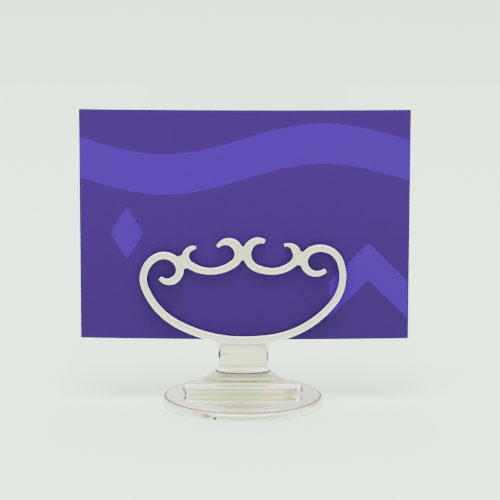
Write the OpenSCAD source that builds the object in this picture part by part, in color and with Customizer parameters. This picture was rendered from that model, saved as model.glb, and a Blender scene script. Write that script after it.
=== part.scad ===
// Place card holder in silver: a round base with a riveted hinge, an upright leaf with a
// waisted boss, and an openwork front of bent scroll wires that grips a card from in front.
// X runs across the card, Y goes to the back, Z is up. The table is at Z = 0.

/* [Base] */
// Widest diameter of the rim
base_d = 51.6; // [46:0.2:64]
// Height of the plate's top above the table
base_h = 2.7; // [2.3:0.1:4]
// Thickness of the polished plate
plate_t = 0.9; // [0.6:0.1:1.4]
// Radial thickness of the rim outside the plate, at its widest
rim_wall = 0.9; // [0.8:0.1:1.6]
// Width of the inner ledge that carries the plate
rim_ledge = 1.4; // [0.8:0.1:3]
// Radius of the rim's convex side
rim_bulge_r = 3.4; // [3:0.1:6]
// Height of the rim's widest line above the table
rim_bulge_z = 0.5; // [0.2:0.1:0.9]
// How far the rim's shoulder stays below the plate's top
rim_step = 0.15; // [0.05:0.05:0.3]

/* [Hinge] */
// Diameter of the hinge pin
pin_d = 1.5; // [1.1:0.1:2]
// Length of the rolled knuckle between the ears
knuckle_len = 34.2; // [26:0.2:38]
// Thickness of each ear
ear_t = 1.4; // [0.8:0.1:2]
// Diameter of an ear's round top
ear_top_d = 3.5; // [3.3:0.1:4.2]
// Width of an ear where it meets the plate
ear_foot_w = 4.6; // [4.2:0.1:7]
// Width of the tenon below an ear
tenon_w = 2.8; // [1.6:0.1:3.4]
// Diameter of the rivet heads at the ends of the pin
rivet_d = 2.2; // [2.1:0.1:2.8]
// Height of the rivet heads
rivet_h = 0.7; // [0.4:0.1:1]

/* [Leaf] */
// Thickness of the sheet
leaf_t = 0.85; // [0.7:0.05:1.1]
// Height of the flare's lower corners above the hinge axis
flare_rise = 1.5; // [1.2:0.1:2.4]
// Height of the flare, from its lower corners to the lip of the boss
flare_h = 4.6; // [3.5:0.1:6]
// Radius of the flare's concave sides
flare_r = 18.5; // [12:0.5:40]
// Height of the lap of the roll above the top of the knuckle
lap_rise = 0.65; // [0.4:0.05:1]
// Thickness of the lap
lap_t = 0.5; // [0.3:0.05:0.7]
// Width of the tongue behind the card
tongue_w = 16; // [10:0.5:16.5]
// Height of the tongue above the slot's floor
tongue_h = 21.4; // [14:0.2:30]
// Inner radius of the tongue's lead-in bend
tongue_bend_r = 8; // [5:0.5:12]
// Angle of the tongue's lead-in bend
tongue_bend = 14; // [5:1:24]

/* [Boss] */
// Height of the boss from the lower edge of its lip to the slot's floor
boss_h = 10.45; // [8:0.05:14]
// Width of the boss at its waist
waist_w = 16.4; // [16:0.1:19]
// Depth of the boss at its waist, in front of the leaf
waist_d = 1.65; // [1.3:0.05:2.2]
// Height of the waist above the lower edge of the lip
waist_rise = 5.15; // [4:0.05:6]
// Width of the lip
lip_w = 17.8; // [17:0.1:21]
// Depth of the lip in front of the leaf
lip_d = 5.45; // [4:0.05:6]
// Thickness of the lip's rounded edge
lip_t = 0.7; // [0.4:0.05:1]
// Width of the shoulders under the wire
shoulder_w = 21; // [18:0.1:24]
// Depth of the shoulders in front of the leaf
shoulder_d = 2.2; // [2:0.05:2.6]

/* [Scroll wires] */
// Width of the front, over the centre line of the outer wire
scroll_w = 63.5; // [56:0.5:80]
// Width of the wire at the sides
wire_w = 2.4; // [1.8:0.1:2.8]
// Depth of the wire, front to back
wire_d = 1.8; // [1.4:0.1:2.4]
// How far a small scroll is filed flat where it touches another wire
file_depth = 0.12; // [0.04:0.02:0.3]
// Length of a solder saddle along the touching wires
saddle_len = 4.4; // [3.4:0.1:5.2]
// Width of a solder saddle across the touching wires
saddle_w = 1.6; // [1.2:0.1:2]
// Depth of a solder saddle, front to back
saddle_d = 1.4; // [1:0.1:1.6]

/* [Card] */
// Width of the card
card_w = 105; // [80:1:120]
// Height of the card
card_h = 74; // [50:1:90]
// Thickness of the card
card_t = 0.35; // [0.2:0.05:0.5]
// How far the card's sides bow back from its middle
card_bow_depth = 2; // [1:0.1:3]
// How far the card stands to the right of the holder's middle
card_offset = 0.5; // [-3:0.1:3]

/* [Fits] */
// Radial clearance of the pin in the knuckle
pin_gap = 0.05; // [0.02:0.01:0.1]
// Radial clearance of the pin in an ear
ear_gap = 0.02; // [0.01:0.01:0.05]
// Clearance between the knuckle and the plate
plate_gap = 0.05; // [0.02:0.01:0.2]
// Clearance between the knuckle's end and an ear
side_gap = 0.1; // [0.05:0.05:0.3]
// Clearance in soldered sockets
solder_gap = 0.02; // [0.01:0.01:0.05]
// Clearance in front of and behind the card in its slot
slot_gap = 0.15; // [0.1:0.05:0.3]
// Clearance between the card's lower edge and the slot's floor
seat_gap = 0.05; // [0.02:0.01:0.2]

/* [Hidden] */
$fn = 128;
silver = [0.83, 0.82, 0.78];
indigo = [0.29, 0.24, 0.54];

// Base and hinge, from the table up
base_r = base_d / 2;
plate_r = base_r - rim_wall;
ledge_r = plate_r - rim_ledge;
ledge_z = base_h - plate_t;
pin_r = pin_d / 2;
bore_r = pin_r + pin_gap;
knuckle_r = bore_r + leaf_t;
axis_z = base_h + plate_gap + knuckle_r;
ear_in = knuckle_len / 2 + side_gap;
ear_out = ear_in + ear_t;

// Leaf and boss
leaf_front = knuckle_r - leaf_t;
flare_z = axis_z + flare_rise;
flare_top = flare_z + flare_h;
lip_z = flare_top - lip_t / 2;
floor_z = lip_z + boss_h;
tongue_z = floor_z + tongue_h;
bend_z = tongue_z - (tongue_bend_r + leaf_t) * sin(tongue_bend);

// Slot and wires
slot = card_t + 2 * slot_gap;
wire_back = leaf_front - slot;

// Section of the boss: exponents of its rounded outline at the waist and at the lip,
// and the sharpness of the turns from the waist into the shoulders and into the lip
waist_power = 4;
lip_power = 2.3;
shoulder_power = 4;
cove_power = 5.5;
outline_steps = 24;
lip_steps = 6;
cove_steps = 8;

// Bends of the wires. Each row is one bend: its radius as a share of the size that the table
// is drawn to, its turn in degrees, and the wire's width at its end as a share of wire_w.
// Positive turns are to the left, seen from in front.
// Both halves of the outer wire start under the card and are drawn to half of scroll_w.
foot_width_share = 1.12;
foot_rise_share = 0.002;
left_loop_shares = [
    [1.28, -28, 1.1], [0.67, -41, 1.0], [0.232, -80, 1.04],
    [0.154, -90, 1.1], [0.116, -96, 1.1], [0.096, -72, 0.68]
];
right_loop_shares = [
    [1.75, 8, 1.1], [0.89, 44, 1.0], [0.4, 57, 0.94],
    [0.193, 96, 1.08], [0.115, 95, 1.06], [0.114, 101, 0.68]
];
// The small scrolls start at their lowest point and are drawn to the gap that they fill.
c_width_share = 0.96;
c_floor_share = 0.709;
c_least_share = 0.3;
c_most_share = 0.65;
left_horn_shares = [[0.69, -35, 1.1], [0.158, -33, 1.2], [0.18, -95, 0.68], [0.13, -26, 0.5]];
left_inner_shares = [[0.72, 37, 1.1], [0.235, 99, 1.3], [0.2, 50, 1.0], [0.228, 46, 0.54]];
right_horn_shares = [[0.604, 44, 1.06], [0.222, 75, 1.15], [0.192, 60, 0.52], [0.13, 22, 0.46]];
right_inner_shares = [[0.803, -23, 1.06], [0.314, -93, 1.2], [0.236, -52, 0.98], [0.242, -34, 0.66]];
// Rings that blunt a wire's tip: how far out and how wide, as shares of the last ring's
// half width and width
tip_shares = [[0.42, 0.86], [0.62, 0.54]];
// Half of the wire's section, across and deep: flat back, eased edges, slightly domed front
section_shares = [[0.4, 0], [0.5, 0.14], [0.5, 0.58], [0.46, 0.8], [0.36, 0.93], [0.18, 0.99]];
// Largest turn and longest step from one ring to the next
ring_turn = 9;
ring_step_share = 0.8;
fit_tries = 12;

// Where a bend that starts at p with this heading ends
function bend_end(p, heading, r, turn) =
    p + sign(turn) * r * [sin(heading + turn) - sin(heading), cos(heading) - cos(heading + turn)];

// Start of bend number i, as [point, heading]
function bend_start(bends, size, i, p, heading) =
    i == 0 ? [p, heading] :
    let (last = bend_start(bends, size, i - 1, p, heading), bend = bends[i - 1])
    [bend_end(last[0], last[1], bend[0] * size, bend[1]), last[1] + bend[1]];

// Rings along a chain of bends, each as [point, heading, width]
function rings(bends, size, p, heading, width) = [
    for (i = [0 : len(bends) - 1])
        let (
            start = bend_start(bends, size, i, p, heading),
            r = bends[i][0] * size,
            turn = bends[i][1],
            from_w = i == 0 ? width : bends[i - 1][2] * wire_w,
            to_w = bends[i][2] * wire_w,
            arc_len = r * abs(turn) * PI / 180,
            steps = ceil(max(abs(turn) / ring_turn, arc_len / (ring_step_share * wire_w)))
        )
        for (k = [i == 0 ? 0 : 1 : steps])
            let (part = k / steps)
            [
                bend_end(start[0], start[1], r, turn * part),
                start[1] + turn * part,
                from_w + (to_w - from_w) * part
            ]
];

// The rings with a round tip added at the far end
function tipped(list) =
    let (end = list[len(list) - 1], out = end[2] / 2 * [cos(end[1]), sin(end[1])])
    concat(list, [for (t = tip_shares) [end[0] + t[0] * out, end[1], t[1] * end[2]]]);

// The same rings walked from the far end
function reversed(list) = [
    for (i = [len(list) - 1 : -1 : 0]) [list[i][0], list[i][1] - 180, list[i][2]]
];

// Two chains that start at one point, joined into one wire
function joined(first, second) =
    concat(reversed(first), [for (i = [1 : len(second) - 1]) second[i]]);

// The rings moved sideways
function moved(list, x) = [for (ring = list) [ring[0] + [x, 0], ring[1], ring[2]]];

// How far a chain reaches to this side, 1 for right and -1 for left
function reach(list, side) = max([for (ring = list) side * ring[0][0]]);

// Distance from point p to the segment a to b
function off_segment(p, a, b) =
    let (along = max(0, min(1, ((p - a) * (b - a)) / ((b - a) * (b - a)))))
    norm(p - a - along * (b - a));

// Clear space between ring p and wire b, less than nothing where they overlap
function ring_gap(p, b) = min([
    for (i = [1 : len(b) - 1])
        off_segment(p[0], b[i - 1][0], b[i][0]) - (p[2] + b[i][2]) / 2
]);

// The ring of wire a that lies nearest to wire b
function touching_ring(a, b) =
    let (gaps = [for (p = a) ring_gap(p, b)])
    a[search(min(gaps), gaps)[0]];

// The rings of wire a that lie near the point p
function rings_near(a, p, distance) = [for (ring = a) if (norm(ring[0] - p) < distance) ring];

// The outer wire: both halves reach half of scroll_w from the middle
half_w = scroll_w / 2;
foot_w = foot_width_share * wire_w;
foot = [0, floor_z + foot_rise_share * half_w];
left_share = reach(rings(left_loop_shares, 1, [0, 0], 180, foot_w), -1);
right_share = reach(rings(right_loop_shares, 1, [0, 0], 0, foot_w), 1);
left_loop = tipped(rings(left_loop_shares, half_w / left_share, foot, 180, foot_w));
right_loop = tipped(rings(right_loop_shares, half_w / right_share, foot, 0, foot_w));

// A small scroll of this size on this side, its inner flank just over the middle plane
function c_rings(horn, inner, size, side) =
    let (
        low_point = [0, foot[1] + c_floor_share * half_w],
        heading = side < 0 ? 180 : 0,
        width = c_width_share * wire_w,
        drawn = joined(
            tipped(rings(horn, size, low_point, heading, width)),
            tipped(rings(inner, size, low_point, 180 - heading, width))
        ),
        flank = min([for (ring = drawn) side * ring[0][0] - ring[2] / 2])
    )
    moved(drawn, side * (-file_depth - flank));

// The size at which a small scroll just bites into its loop, found by halving the range
function c_size(horn, inner, loop, side, least, most, tries) =
    tries == 0 ? least :
    let (
        middle = (least + most) / 2,
        gap = min([for (ring = c_rings(horn, inner, middle, side)) ring_gap(ring, loop)])
    )
    gap > -file_depth
        ? c_size(horn, inner, loop, side, middle, most, tries - 1)
        : c_size(horn, inner, loop, side, least, middle, tries - 1);

// A small scroll that fills the gap between the middle plane and its loop
function seated_c(horn, inner, loop, side) =
    let (size = c_size(horn, inner, loop, side, c_least_share * half_w, c_most_share * half_w,
        fit_tries))
    c_rings(horn, inner, size, side);

left_c = seated_c(left_horn_shares, left_inner_shares, left_loop, -1);
right_c = seated_c(right_horn_shares, right_inner_shares, right_loop, 1);
left_touch = touching_ring(left_c, left_loop);
right_touch = touching_ring(right_c, right_loop);
centre_touch = touching_ring(left_c, right_c);

// A wire swept through its rings, with its flat back at wire_back
module wire(list) {
    half = len(section_shares);
    sides = 2 * half;
    section = concat(
        section_shares,
        [for (i = [half - 1 : -1 : 0]) [-section_shares[i][0], section_shares[i][1]]]
    );
    points = [
        for (ring = list)
            let (
                across = ring[2] * [-sin(ring[1]), cos(ring[1])],
                deep = wire_d * min(1, sqrt(ring[2] / wire_w))
            )
            for (s = section)
                [
                    ring[0][0] + across[0] * s[0],
                    wire_back - deep * s[1],
                    ring[0][1] + across[1] * s[0]
                ]
    ];
    last = (len(list) - 1) * sides;
    skin = [
        for (i = [0 : len(list) - 2]) for (j = [0 : sides - 1])
            let (a = i * sides + j, b = i * sides + (j + 1) % sides)
            each [[a, a + sides, b], [b, a + sides, b + sides]]
    ];
    start_cap = [[for (j = [0 : sides - 1]) j]];
    end_cap = [[for (j = [sides - 1 : -1 : 0]) last + j]];
    polyhedron(points, concat(start_cap, skin, end_cap));
}

// One level of the boss: a D with its flat side on the leaf
function boss_level(z, half_width, depth, power) = [
    for (k = [0 : outline_steps])
        let (t = 180 * k / outline_steps, x = cos(t), y = sin(t))
        [
            half_width * sign(x) * pow(abs(x), 2 / power),
            leaf_front - depth * pow(max(0, y), 2 / power),
            z
        ]
];

// The boss from the lip's lower edge, over its rounded nose, up the cove to the waist,
// and on into the shoulders under the wire
function boss_levels() =
    let (
        nose = lip_t / 2,
        shoulder_rise = boss_h - waist_rise
    )
    concat(
        [
            for (k = [0 : lip_steps])
                let (t = -90 + 180 * k / lip_steps, inset = nose * (1 - cos(t)))
                boss_level(lip_z + nose + nose * sin(t), lip_w / 2 - inset, lip_d - inset, lip_power)
        ],
        [
            for (k = [cove_steps - 1 : -1 : 0])
                let (
                    t = 90 * k / cove_steps,
                    drop = pow(sin(t), 2 / cove_power),
                    out = 1 - pow(cos(t), 2 / cove_power)
                )
                boss_level(
                    lip_z + waist_rise - (waist_rise - lip_t) * drop,
                    waist_w / 2 + (lip_w / 2 - nose - waist_w / 2) * out,
                    waist_d + (lip_d - nose - waist_d) * out,
                    waist_power + (lip_power - waist_power) * out
                )
        ],
        [
            for (k = [1 : cove_steps])
                let (
                    part = sin(90 * k / cove_steps),
                    wide = 1 - pow(1 - pow(part, shoulder_power), 1 / shoulder_power),
                    deep = 1 - sqrt(1 - part * part)
                )
                boss_level(
                    lip_z + waist_rise + shoulder_rise * part,
                    waist_w / 2 + (shoulder_w - waist_w) / 2 * wide,
                    waist_d + (shoulder_d - waist_d) * deep,
                    waist_power
                )
        ]
    );

// A solid skinned over levels with the same number of points
module skinned(levels) {
    count = len(levels[0]);
    last = (len(levels) - 1) * count;
    skin = [
        for (i = [0 : len(levels) - 2]) for (j = [0 : count - 1])
            let (a = i * count + j, b = i * count + (j + 1) % count)
            each [[a, b, a + count], [b, b + count, a + count]]
    ];
    floor_face = [[for (j = [count - 1 : -1 : 0]) j]];
    top_face = [[for (j = [0 : count - 1]) last + j]];
    polyhedron([for (level = levels) each level], concat(floor_face, skin, top_face));
}

// Outline of the leaf seen from in front: knuckle, concave flare, neck and round tongue
module leaf_outline() {
    corner = [knuckle_len / 2, flare_z];
    top = [lip_w / 2, flare_top];
    chord = norm(top - corner);
    outward = [top[1] - corner[1], corner[0] - top[0]] / chord;
    centre = (corner + top) / 2 + outward * sqrt(flare_r * flare_r - chord * chord / 4);
    translate([-knuckle_len / 2, axis_z - 2 * knuckle_r])
        square([knuckle_len, flare_rise + 2 * knuckle_r]);
    difference() {
        translate([-knuckle_len / 2, flare_z])
            square([knuckle_len, flare_h]);
        for (side = [-1, 1])
            translate([side * centre[0], centre[1]])
                circle(flare_r);
    }
    polygon([
        [-lip_w / 2, flare_top], [lip_w / 2, flare_top],
        [tongue_w / 2, flare_top + lip_t], [-tongue_w / 2, flare_top + lip_t]
    ]);
    translate([-tongue_w / 2, flare_top])
        square([tongue_w, tongue_z - tongue_w / 2 - flare_top]);
    translate([0, tongue_z - tongue_w / 2])
        circle(d = tongue_w);
}

// Edge view of the leaf, looking along the hinge: roll, lap, sheet and lead-in bend
module leaf_profile() {
    bend_out = tongue_bend_r + leaf_t;
    difference() {
        union() {
            translate([0, axis_z])
                circle(knuckle_r);
            translate([leaf_front, axis_z])
                square([leaf_t, bend_z - axis_z]);
            translate([leaf_front - lap_t, axis_z])
                square([lap_t, knuckle_r + lap_rise - lap_t / 2]);
            translate([leaf_front - lap_t / 2, axis_z + knuckle_r + lap_rise - lap_t / 2])
                circle(d = lap_t);
        }
        translate([0, axis_z])
            circle(bore_r);
    }
    translate([leaf_front + bend_out, bend_z])
        intersection() {
            difference() {
                circle(bend_out);
                circle(tongue_bend_r);
            }
            polygon([
                [0, 0], [-2 * bend_out, 0],
                [-2 * bend_out, 2 * bend_out * tan(tongue_bend)]
            ]);
        }
}

module back_leaf() {
    color(silver)
        intersection() {
            translate([-knuckle_len / 2, 0, 0])
                rotate([90, 0, 90])
                    linear_extrude(knuckle_len)
                        leaf_profile();
            translate([0, 2 * knuckle_r, 0])
                rotate([90, 0, 0])
                    linear_extrude(4 * knuckle_r)
                        leaf_outline();
        }
}

module neck_boss() {
    color(silver)
        difference() {
            skinned(boss_levels());
            wire(rings_near(joined(left_loop, right_loop), foot, shoulder_w));
        }
}

module base_rim() {
    color(silver)
        rotate_extrude()
            difference() {
                intersection() {
                    translate([ledge_r, 0])
                        square([base_r - ledge_r, base_h - rim_step]);
                    translate([base_r - rim_bulge_r, rim_bulge_z])
                        circle(rim_bulge_r);
                }
                translate([0, ledge_z])
                    square([plate_r, base_h]);
            }
}

module base_plate() {
    color(silver)
        difference() {
            translate([0, 0, ledge_z])
                cylinder(h = plate_t, r = plate_r - solder_gap);
            for (side = [-1, 1])
                translate([side * (ear_in + ear_out) / 2, 0, base_h])
                    cube([ear_t + 2 * solder_gap, tenon_w + 2 * solder_gap, 3 * plate_t], center = true);
        }
}

// Side view of an ear: round top, spreading foot, and the tenon that goes through the plate
module ear_profile() {
    difference() {
        union() {
            translate([0, axis_z])
                circle(d = ear_top_d);
            polygon([
                [-ear_foot_w / 2, base_h], [ear_foot_w / 2, base_h],
                [ear_top_d / 2, axis_z], [-ear_top_d / 2, axis_z]
            ]);
            translate([-tenon_w / 2, ledge_z])
                square([tenon_w, axis_z - ledge_z]);
        }
        translate([0, axis_z])
            circle(pin_r + ear_gap);
    }
}

module ear(side) {
    translate([side < 0 ? -ear_out : ear_in, 0, 0])
        rotate([90, 0, 90])
            linear_extrude(ear_t)
                ear_profile();
}

module left_ear() {
    color(silver)
        ear(-1);
}

module right_ear() {
    color(silver)
        ear(1);
}

// Domed head that closes an end of the pin
module rivet_head() {
    dome_r = (pow(rivet_d / 2, 2) + rivet_h * rivet_h) / (2 * rivet_h);
    rotate_extrude()
        intersection() {
            translate([0, rivet_h - dome_r])
                circle(dome_r);
            square([rivet_d / 2, rivet_h]);
        }
}

module hinge_pin() {
    color(silver)
        translate([0, 0, axis_z]) {
            translate([-ear_out, 0, 0])
                rotate([0, 90, 0])
                    cylinder(h = 2 * ear_out, r = pin_r);
            for (side = [-1, 1])
                translate([side * ear_out, 0, 0])
                    rotate([0, side * 90, 0])
                        rivet_head();
        }
}

module outer_scroll() {
    color(silver)
        wire(joined(left_loop, right_loop));
}

// A small scroll, filed to its loop and to the middle plane
module filed_c(list, loop, touch, side) {
    difference() {
        wire(list);
        wire(rings_near(loop, touch[0], 2 * saddle_len));
        translate([side < 0 ? 0 : -scroll_w, -scroll_w / 2, foot[1]])
            cube([scroll_w, scroll_w, scroll_w]);
    }
}

module left_c_scroll() {
    color(silver)
        filed_c(left_c, left_loop, left_touch, -1);
}

module right_c_scroll() {
    color(silver)
        filed_c(right_c, right_loop, right_touch, 1);
}

// Solder that fills the notches above and below the place where two wires touch
module saddle(touch, side, first, second) {
    mid = touch[0] + side * touch[2] / 2 * [-sin(touch[1]), cos(touch[1])];
    difference() {
        translate([mid[0], wire_back, mid[1]])
            rotate([0, -touch[1], 0])
                translate([-saddle_len / 2, -saddle_d, -saddle_w / 2])
                    cube([saddle_len, saddle_d, saddle_w]);
        wire(rings_near(first, mid, 2 * saddle_len));
        wire(rings_near(second, mid, 2 * saddle_len));
    }
}

module left_saddle() {
    color(silver)
        saddle(left_touch, -1, left_c, left_loop);
}

module centre_saddle() {
    color(silver)
        saddle(centre_touch, -1, left_c, right_c);
}

module right_saddle() {
    color(silver)
        saddle(right_touch, 1, right_c, right_loop);
}

// The card, bowed back at its sides, standing on the slot's floor
module place_card() {
    bow_r = (pow(card_w / 2, 2) + card_bow_depth * card_bow_depth) / (2 * card_bow_depth);
    slot_mid = wire_back + slot / 2;
    color(indigo)
        translate([card_offset, slot_mid + bow_r, floor_z + seat_gap])
            linear_extrude(card_h)
                intersection() {
                    difference() {
                        circle(bow_r + card_t / 2, $fn = 1440);
                        circle(bow_r - card_t / 2, $fn = 1440);
                    }
                    translate([-card_w / 2, -2 * bow_r])
                        square([card_w, 2 * bow_r]);
                }
}

base_plate();
base_rim();
left_ear();
right_ear();
hinge_pin();
back_leaf();
neck_boss();
outer_scroll();
left_c_scroll();
right_c_scroll();
left_saddle();
centre_saddle();
right_saddle();
place_card();
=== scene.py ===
"""Looks of the silver place card holder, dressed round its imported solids.

Lengths are in metres, in the frame of the solids: X across the card, Y to the back, Z up,
and the table top at Z = 0. The solids keep their places; each new piece stands where its
solid stands and rides on the same body.
"""

import logging
import math
from dataclasses import dataclass, field, replace
from enum import Enum
from typing import Sequence

import bmesh
import bpy
from bmesh.types import BMEdge, BMesh, BMVert
from bpy.types import Material, Node, NodeSocket, NodeTree, Object
from mathutils import Matrix, Vector


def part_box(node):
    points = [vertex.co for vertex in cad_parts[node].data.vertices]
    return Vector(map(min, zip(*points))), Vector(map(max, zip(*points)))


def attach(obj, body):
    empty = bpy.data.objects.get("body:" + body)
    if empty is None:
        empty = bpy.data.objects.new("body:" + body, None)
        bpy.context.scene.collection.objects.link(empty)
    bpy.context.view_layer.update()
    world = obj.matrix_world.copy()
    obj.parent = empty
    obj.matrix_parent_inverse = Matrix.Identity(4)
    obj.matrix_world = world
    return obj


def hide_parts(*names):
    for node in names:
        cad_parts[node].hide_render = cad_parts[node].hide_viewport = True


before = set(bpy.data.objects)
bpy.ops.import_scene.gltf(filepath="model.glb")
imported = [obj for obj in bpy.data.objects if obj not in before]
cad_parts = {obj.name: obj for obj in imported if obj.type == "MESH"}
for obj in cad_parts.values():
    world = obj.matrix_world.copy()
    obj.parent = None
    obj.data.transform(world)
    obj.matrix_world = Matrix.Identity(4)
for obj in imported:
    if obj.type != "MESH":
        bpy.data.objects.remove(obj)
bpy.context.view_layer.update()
MM = 0.001
LOG = logging.getLogger("place_card_holder")

Colour = tuple[float, float, float, float]

# Points nearer than these are one, in a new mesh and in the copy of a solid's, or on a cut's plane
WELD = 0.0005 * MM
COPY_WELD = 0.002 * MM
ON_PLANE = 0.0001 * MM
# Turns in degrees: less is one plane in a copied mesh, more is an edge that polishing eases
FLAT_TURN = 0.5
HARD_TURN = 24.0
EASED_STEPS = 2


def mm(*lengths: float) -> Vector:
    """A vector in metres, from its three coordinates in millimetres."""
    return Vector(lengths) * MM


# Meshes


def link_mesh(name: str, bm: BMesh, sharp_angle: float | None = 40.0) -> Object:
    """Turns a finished bmesh into an object of the scene, shaded smooth.

    Args:
        name: The piece's name.
        bm: The bmesh, which is freed.
        sharp_angle: Edges that turn by more degrees than this stay sharp.

    Returns:
        The new object, at the origin.
    """
    mesh = bpy.data.meshes.new(name)
    bm.to_mesh(mesh)
    bm.free()
    mesh.shade_smooth()
    if sharp_angle is not None:
        mesh.set_sharp_from_angle(angle=math.radians(sharp_angle))
    piece = bpy.data.objects.new(name, mesh)
    bpy.context.scene.collection.objects.link(piece)
    return piece


def weigh_normals(piece: Object) -> None:
    """Keeps the flats flat beside narrow bevels, by weighing normals by face area."""
    modifier = piece.modifiers.new("face_area_normals", "WEIGHTED_NORMAL")
    modifier.keep_sharp = True


def polished_copy(node: str, ease: float) -> BMesh:
    """A merged copy of a solid's mesh, with its hard edges eased as polishing eases them.

    Args:
        node: The solid that is copied.
        ease: Width of the eased edge.

    Returns:
        The bmesh of the copy.
    """
    bm = bmesh.new()
    bm.from_mesh(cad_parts[node].data)
    bmesh.ops.remove_doubles(bm, verts=bm.verts, dist=COPY_WELD)
    bmesh.ops.dissolve_limit(
        bm, angle_limit=math.radians(FLAT_TURN), verts=bm.verts, edges=bm.edges,
        delimit={"NORMAL"},
    )
    hard = [
        edge
        for edge in bm.edges
        if len(edge.link_faces) == 2 and edge.calc_face_angle(0.0) > math.radians(HARD_TURN)
    ]
    bmesh.ops.bevel(
        bm, geom=hard, offset=ease, offset_type="OFFSET", segments=EASED_STEPS, profile=0.5,
        affect="EDGES", clamp_overlap=True, material=-1,
    )
    return bm


def closed_chain(bm: BMesh, corners: Sequence[BMVert]) -> list[BMEdge]:
    """Joins corners by new edges, in order and back to the first, and returns the edges."""
    return [bm.edges.new(pair) for pair in zip(corners, [*corners[1:], corners[0]])]


def spun(profile: Sequence[tuple[float, float]], steps: int) -> BMesh:
    """A closed profile of (radius, height) turned round the Z axis.

    Args:
        profile: The corners of the profile, in order.
        steps: Facets in the full turn.

    Returns:
        The bmesh of the turned piece.
    """
    bm = bmesh.new()
    corners = [bm.verts.new((radius, 0.0, height)) for radius, height in profile]
    bmesh.ops.spin(
        bm, geom=corners + closed_chain(bm, corners), cent=(0.0, 0.0, 0.0), axis=(0.0, 0.0, 1.0),
        angle=math.tau, steps=steps, use_merge=True, use_duplicate=False,
    )
    bmesh.ops.remove_doubles(bm, verts=bm.verts, dist=WELD)
    bmesh.ops.recalc_face_normals(bm, faces=bm.faces)
    return bm


def extruded_ring(bm: BMesh, edges: Sequence[BMEdge]) -> tuple[list[BMVert], list[BMEdge]]:
    """Extrudes a ring of edges in place.

    Args:
        bm: The bmesh.
        edges: The ring's edges.

    Returns:
        The new ring's vertices and edges.
    """
    made = bmesh.ops.extrude_edge_only(bm, edges=edges)["geom"]
    verts = [item for item in made if isinstance(item, BMVert)]
    fresh = set(verts)
    ring = [item for item in made if isinstance(item, BMEdge) and set(item.verts) <= fresh]
    return verts, ring


# Finishes


class Axis(Enum):
    """The direction in which a surface was wiped while it was polished."""

    ACROSS = (1.0, 14.0, 14.0)
    UPRIGHT = (14.0, 14.0, 1.0)
    ALL_ROUND = (4.0, 4.0, 4.0)


class Shader:
    """A node tree, with short calls that add and join its nodes."""

    # Of the Mix node's inputs and outputs with like names, the ones for colours
    MIX_FIRST, MIX_SECOND, MIX_RESULT = 6, 7, 2

    def __init__(self, tree: NodeTree) -> None:
        """Keeps the tree that the nodes go into."""
        self.tree = tree

    def feed(self, target: NodeSocket, value: object) -> None:
        """Joins a socket to an input, or gives the input a plain value.

        Args:
            target: The input.
            value: A socket, or the plain value.
        """
        if isinstance(value, NodeSocket):
            self.tree.links.new(value, target)
        else:
            target.default_value = value

    def fill(self, made: Node, *values: object, **settings: object) -> Node:
        """Sets up a node.

        Args:
            made: The node.
            values: Sockets or plain values for its first inputs, in order.
            settings: Attributes of the node, and sockets or plain values for its inputs by
                name, where an underscore stands for a space.

        Returns:
            The node.
        """
        for name, value in settings.items():
            if hasattr(made, name):
                setattr(made, name, value)
            else:
                self.feed(made.inputs[name.replace("_", " ")], value)
        for socket, value in zip(made.inputs, values):
            self.feed(socket, value)
        return made

    def node(self, kind: str, *values: object, **settings: object) -> Node:
        """Adds a node of a kind, set up as fill does it."""
        return self.fill(self.tree.nodes.new(kind), *values, **settings)

    def place(self) -> NodeSocket:
        """The place on the object, in metres."""
        return self.node("ShaderNodeTexCoord").outputs["Object"]

    def part(self, place: NodeSocket, axis: str) -> NodeSocket:
        """One coordinate of a place: X, Y or Z."""
        return self.node("ShaderNodeSeparateXYZ", Vector=place).outputs[axis]

    def noise(self, place: NodeSocket, **settings: float) -> NodeSocket:
        """The value of a noise texture with these inputs, about 0.5 on average."""
        return self.node("ShaderNodeTexNoise", Vector=place, **settings).outputs["Fac"]

    def bump(self, height: NodeSocket, strength: float, distance: float) -> NodeSocket:
        """The normal of a surface with this height, at a strength and a full distance."""
        made = self.node("ShaderNodeBump", Height=height, Strength=strength, Distance=distance)
        return made.outputs["Normal"]

    def maths(self, operation: str, *values: object) -> NodeSocket:
        """The outcome of a Math node on sockets or numbers, in the order of its inputs."""
        return self.node("ShaderNodeMath", *values, operation=operation).outputs[0]

    def vector(self, operation: str, *values: object) -> NodeSocket:
        """The outcome of a Vector Math node: its number for a length, otherwise its vector."""
        made = self.node("ShaderNodeVectorMath", *values, operation=operation)
        return made.outputs["Value" if operation == "LENGTH" else "Vector"]

    def ramp(self, source: NodeSocket, low: object, high: object) -> NodeSocket:
        """Maps the values from low to high onto 0 to 1, with soft ends.

        Args:
            source: The value.
            low: What becomes 0, a number or a socket.
            high: What becomes 1, a number or a socket.

        Returns:
            The mapped value.
        """
        made = self.node(
            "ShaderNodeMapRange", interpolation_type="SMOOTHSTEP", Value=source, From_Min=low,
            From_Max=high,
        )
        return made.outputs["Result"]

    def blend(self, factor: NodeSocket, first: object, second: object) -> NodeSocket:
        """Mixes two colours.

        Args:
            factor: The share of the second one.
            first: A colour or a socket.
            second: A colour or a socket.

        Returns:
            The mixed colour.
        """
        made = self.node("ShaderNodeMix", data_type="RGBA", Factor=factor)
        self.feed(made.inputs[self.MIX_FIRST], first)
        self.feed(made.inputs[self.MIX_SECOND], second)
        return made.outputs[self.MIX_RESULT]


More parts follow.
